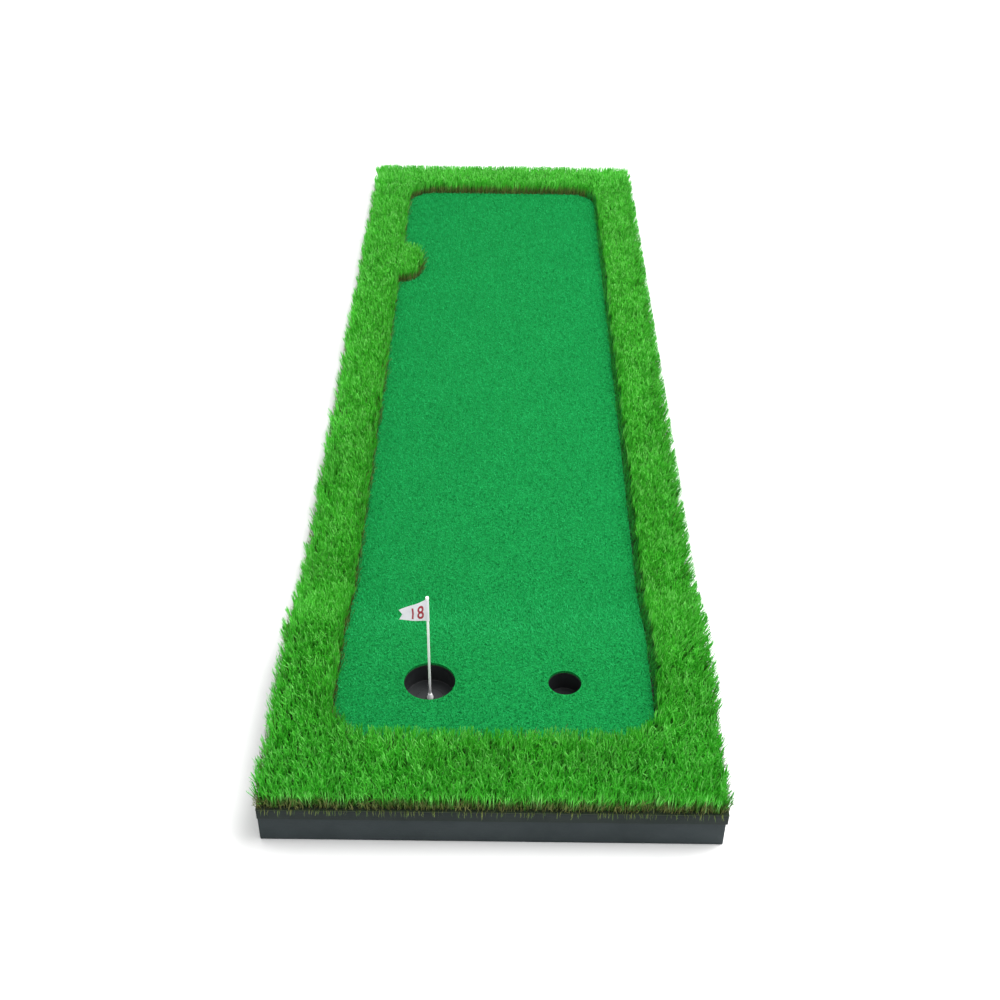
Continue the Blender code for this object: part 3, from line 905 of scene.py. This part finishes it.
def cup(name, node, hole_radius, mat, socket):
    """A cup with a flange, a filleted and ribbed floor, and a socket or a flat boss in it."""
    low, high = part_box(node)
    x, y = (low.x + high.x) / 2, (low.y + high.y) / 2
    top, flange = high.z, (high.x - low.x) / 2
    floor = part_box("flagstick_foot")[0].z + SPIGOT_LENGTH - GAP
    ledge, under = top - CUP_FLANGE, floor - CUP_FLOOR
    outer = hole_radius + CUP_WALL
    profile = [(hole_radius, top), (flange, top), (flange, ledge), (outer, ledge), (outer, under)]
    if socket:
        profile += [(SOCKET_OUTER, under), (SOCKET_OUTER, low.z)]
        profile += [(SOCKET_RADIUS, low.z), (SOCKET_RADIUS, floor)]
        profile += ridge(COLLAR_RADII, floor)
    else:
        profile += [(0.0, under), (0.0, floor + BOSS_HEIGHT)]
        profile += [(BOSS_RADII[0], floor + BOSS_HEIGHT), (BOSS_RADII[1], floor)]
    profile += ridge([hole_radius * RIB_PLACE + step for step in RIB_STEPS], floor)
    profile += [(hole_radius + inwards, floor + up) for inwards, up in CUP_FILLET]
    profile += [(hole_radius, top)]
    made = turned(name, profile, x, y, mat)
    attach(made, "mat")
    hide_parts(node)


def flagstick(mat):
    """Foot, rod and cap, with moulded radii. Gives the rod's place and radius."""
    low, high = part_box("flagstick_foot")
    x, y = (low.x + high.x) / 2, (low.y + high.y) / 2
    base = low.z + SPIGOT_LENGTH
    foot_radius = (high.x - low.x) / 2
    rod_low, rod_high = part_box("flagstick_rod")
    rod_radius = (rod_high.x - rod_low.x) / 2
    cap_low, cap_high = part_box("flagstick_cap")
    cap_radius = (cap_high.x - cap_low.x) / 2
    bore = rod_radius + GAP
    foot_line = [(0.0, low.z), (rod_radius, low.z), (rod_radius, base), (foot_radius, base),
                 (foot_radius, base + FOOT_RIM), (FOOT_NECK, high.z), (bore, high.z)]
    foot_line = rounded(foot_line, FOOT_FILLET) + [(bore, rod_low.z - GAP), (0.0, rod_low.z - GAP)]
    foot = turned("flagstick_foot_moulding", foot_line, x, y, mat, 64)
    rod_line = [(0.0, rod_low.z), (rod_radius, rod_low.z), (rod_radius, rod_high.z), (0.0, rod_high.z)]
    rod = turned("flagstick_rod_smooth", rounded(rod_line, ROD_FILLET), x, y, mat, 64)
    dome = [(cap_radius * math.cos(a), cap_high.z - cap_radius * CAP_DOME * (1 - math.sin(a)))
            for a in (math.radians(d) for d in range(0, 90, 10))]
    cap_line = [(bore, cap_low.z), (cap_radius - CAP_CHAMFER, cap_low.z),
                (cap_radius, cap_low.z + CAP_CHAMFER)]
    cap_line += dome + [(0.0, cap_high.z), (0.0, rod_high.z + GAP), (bore, rod_high.z + GAP)]
    cap = turned("flagstick_cap_moulding", cap_line, x, y, mat, 64)
    for piece, node in ((foot, "flagstick_foot"), (rod, "flagstick_rod"), (cap, "flagstick_cap")):
        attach(piece, "flagstick")
        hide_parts(node)
    return x, y, rod_radius


def pennant_place(u, v, hoist, fly):
    """Film coordinates: u from 0 at the sleeve to 1 at the tail, v from -1 at the bottom to 1 at
    the top. Gives the distance from the sleeve, the sideways wave and the height."""
    reach = fly - FLAG_NOTCH * (1 - abs(v)) * u
    half = hoist / 2 + (FLAG_TAIL / 2 - hoist / 2) * u
    wave = FLAG_WAVE * math.sin(1.6 * math.pi * u + 0.5 * v) * min(1.0, 3 * u)
    return u * reach, wave, v * half - FLAG_DROOP * u


def film_mesh(film_point):
    """The film as a closed mesh: a grid of points on each face, joined round the rim."""
    across, down = 40, 24
    bm = bmesh.new()
    sides = []
    for proud in (FILM_HALF, -FILM_HALF):
        grid = [[bm.verts.new(film_point(i / across, 2 * j / down - 1, proud))
                 for j in range(down + 1)] for i in range(across + 1)]
        sides.append(grid)
        for i in range(across):
            for j in range(down):
                bm.faces.new((grid[i][j], grid[i + 1][j], grid[i + 1][j + 1], grid[i][j + 1]))
    rim = [(i, 0) for i in range(across)] + [(across, j) for j in range(down)]
    rim += [(i, down) for i in range(across, 0, -1)] + [(0, j) for j in range(down, 0, -1)]
    for (i, j), (k, m) in zip(rim, rim[1:] + rim[:1]):
        bm.faces.new((sides[0][i][j], sides[0][k][m], sides[1][k][m], sides[1][i][j]))
    bmesh.ops.recalc_face_normals(bm, faces=bm.faces)
    mesh = bpy.data.meshes.new("pennant")
    bm.to_mesh(mesh)
    bm.free()
    mesh.shade_smooth()
    mesh.set_sharp_from_angle(angle=math.radians(50))
    return mesh


def pennant(axis_x, axis_y, rod_radius, film, ink):
    """A swallow-tailed film with a sleeve round the rod, and its printed number."""
    low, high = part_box("flag")
    hoist, middle = high.z - low.z, (high.z + low.z) / 2
    start = rod_radius + FLAG_START
    fly = (axis_x - low.x) / math.cos(FLAG_YAW) - start
    along = Vector((-math.cos(FLAG_YAW), -math.sin(FLAG_YAW), 0))
    out = Vector((math.sin(FLAG_YAW), -math.cos(FLAG_YAW), 0))
    axis = Vector((axis_x, axis_y, middle))

    def film_point(u, v, proud):
        """A point of the film, moved out of its middle plane by proud."""
        distance, wave, height = pennant_place(u, v, hoist, fly)
        return axis + along * (start + distance) + out * (wave + proud) + Vector((0, 0, height))

    flag = new_object("pennant_film", film_mesh(film_point), film)
    inner, outer = rod_radius + GAP, rod_radius + GAP + SLEEVE_WALL
    tube = [(inner, low.z), (outer, low.z), (outer, high.z), (inner, high.z)]
    sleeve = turned("pennant_sleeve", tube, axis_x, axis_y, film, 48, close=True)
    number = print_number(film_point, ink)
    for piece in (flag, sleeve, number):
        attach(piece, "flag")
        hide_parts("flag")


def number_shape():
    """The hole number as a flat mesh: its points, from 0 to 1 both ways, and its faces."""
    curve = bpy.data.curves.new("number", "FONT")
    curve.body = NUMBER
    curve.size = 1.0
    curve.offset = 0.015
    curve.space_character = 1.12
    curve.resolution_u = 6
    text = bpy.data.objects.new("number", curve)
    bpy.context.scene.collection.objects.link(text)
    bpy.context.view_layer.update()
    flat = bpy.data.meshes.new_from_object(text)
    bpy.data.objects.remove(text)
    bpy.data.curves.remove(curve)
    bm = bmesh.new()
    bm.from_mesh(flat)
    bpy.data.meshes.remove(flat)
    bmesh.ops.triangulate(bm, faces=bm.faces)
    # Finer faces, so that the print can follow the film's waves.
    for _ in range(2):
        bmesh.ops.subdivide_edges(bm, edges=bm.edges, cuts=1)
        bmesh.ops.triangulate(bm, faces=bm.faces)
    bm.verts.index_update()
    xs = [v.co.x for v in bm.verts]
    ys = [v.co.y for v in bm.verts]
    width, height = max(xs) - min(xs), max(ys) - min(ys)
    places = [((v.co.x - min(xs)) / width, (v.co.y - min(ys)) / height) for v in bm.verts]
    faces = [[v.index for v in f.verts] for f in bm.faces]
    bm.free()
    return places, faces


def print_number(film_point, ink):
    """The hole number, as a thin layer of ink on both faces of the film."""
    places, faces = number_shape()
    near, far = NUMBER_ACROSS
    low, high = NUMBER_UP
    points, corners = [], []
    for proud, mirrored in ((FILM_HALF + INK_PROUD, False), (-FILM_HALF - INK_PROUD, True)):
        first = len(points)
        for s, t in places:
            across = s if mirrored else 1 - s
            points.append(film_point(near + (far - near) * across, low + (high - low) * t, proud))
        corners += [[first + i for i in f] for f in faces]
    mesh = bpy.data.meshes.new("number")
    mesh.from_pydata(points, [], corners)
    mesh.update()
    return new_object("pennant_number", mesh, ink)


# ---------------------------------------------------------------- stage


def studio():
    """A plain pale floor and soft studio light."""
    floor_mesh = bpy.data.meshes.new("studio_floor")
    corners = [(-FLOOR_REACH, -FLOOR_REACH, 0), (FLOOR_REACH, -FLOOR_REACH, 0),
               (FLOOR_REACH, FLOOR_REACH, 0), (-FLOOR_REACH, FLOOR_REACH, 0)]
    floor_mesh.from_pydata(corners, [], [(0, 1, 2, 3)])
    paper, _, shader = new_material("studio_paper")
    shader.inputs["Base Color"].default_value = (0.94, 0.94, 0.94, 1.0)
    shader.inputs["Roughness"].default_value = 0.95
    shader.inputs["Specular IOR Level"].default_value = 0.0
    floor = new_object("studio_floor", floor_mesh, paper)
    floor.location.z = -FLOOR_DROP

    world = bpy.data.worlds.new("studio")
    world.use_nodes = True
    sky = world.node_tree.nodes["Background"]
    sky.inputs["Color"].default_value = (1.0, 1.0, 1.0, 1.0)
    sky.inputs["Strength"].default_value = SKY_STRENGTH
    bpy.context.scene.world = world
    bpy.context.scene.view_settings.view_transform = "Standard"

    key = bpy.data.lights.new("key", "AREA")
    key.shape = "DISK"
    key.size = KEY_SIZE
    key.energy = KEY_POWER
    lamp = bpy.data.objects.new("key", key)
    lamp.location = KEY_PLACE
    aim = Vector(KEY_TARGET) - lamp.location
    lamp.rotation_euler = aim.to_track_quat("-Z", "Y").to_euler()
    bpy.context.scene.collection.objects.link(lamp)


def photo_camera():
    """The camera at the photo's angle, from its yaw, pitch and roll."""
    lens = bpy.data.cameras.new("photo_camera")
    lens.sensor_width = SENSOR_WIDTH
    lens.lens = CAMERA_LENS
    lens.clip_start, lens.clip_end = 0.05, 100.0
    camera = bpy.data.objects.new("photo_camera", lens)
    forward = Vector((math.sin(CAMERA_YAW) * math.cos(CAMERA_PITCH),
                      math.cos(CAMERA_YAW) * math.cos(CAMERA_PITCH), -math.sin(CAMERA_PITCH)))
    level = Vector((math.cos(CAMERA_YAW), -math.sin(CAMERA_YAW), 0.0))
    above = level.cross(forward)
    right = level * math.cos(CAMERA_ROLL) + above * math.sin(CAMERA_ROLL)
    upward = above * math.cos(CAMERA_ROLL) - level * math.sin(CAMERA_ROLL)
    turn = Matrix((right, upward, -forward)).transposed().to_4x4()
    camera.matrix_world = Matrix.Translation(CAMERA_PLACE) @ turn
    bpy.context.scene.collection.objects.link(camera)
    bpy.context.scene.camera = camera


# ---------------------------------------------------------------- assembly


def build():
    """Everything, with one stream of random numbers for all the yarns."""
    rng = np.random.default_rng(18)
    studio()
    photo_camera()
    yarns = turf_materials()
    slate = foam_material("foam_slate", (0.016, 0.0250, 0.0268), (0.0264, 0.0370, 0.0400), 900.0)
    dark = foam_material("foam_dark", (0.006, 0.0125, 0.0105), (0.012, 0.021, 0.018), 1100.0)
    cloth = weave_material("tufting_cloth")
    black = plastic_material("black_plastic", (0.010, 0.012, 0.013), (0.016, 0.018, 0.020), 0.42, 0.00006)
    white = plastic_material("white_plastic", (0.92, 0.92, 0.93), (0.95, 0.95, 0.96), 0.35, 0.00003)
    film = film_material("pennant_film", (0.78, 0.74, 0.83), (0.86, 0.82, 0.90))
    ink = film_material("pennant_ink", (0.36, 0.018, 0.045), (0.43, 0.024, 0.055))

    foam_board("riser_foam", "riser_block", slate)
    foam_board("underlay_foam_hole_end", "underlay_hole_end", dark)
    foam_board("underlay_foam_level", "underlay_level", dark)

    green_walls = faces_tree("putting_backing", lambda t: abs(t.normal.z) < FACING_UP)
    both = ["underlay_foam_hole_end", "underlay_foam_level"]
    boards = {"front": both[:1], "back": both[1:], "left": both, "right": both}
    for side in FRINGE_SIDES:
        pile = long_turf(side, green_walls, yarns, rng)
        backing(f"fringe_{side}_cloth", f"fringe_{side}_backing", boards[side], cloth)
    pile = short_turf(yarns, rng)
    backing("putting_cloth", "putting_backing", both, cloth)

    cup("cup_large_moulding", "cup_large", LARGE_HOLE_RADIUS, black, True)
    cup("cup_small_moulding", "cup_small", SMALL_HOLE_RADIUS, black, False)
    axis_x, axis_y, rod_radius = flagstick(white)
    pennant(axis_x, axis_y, rod_radius, film, ink)


build()
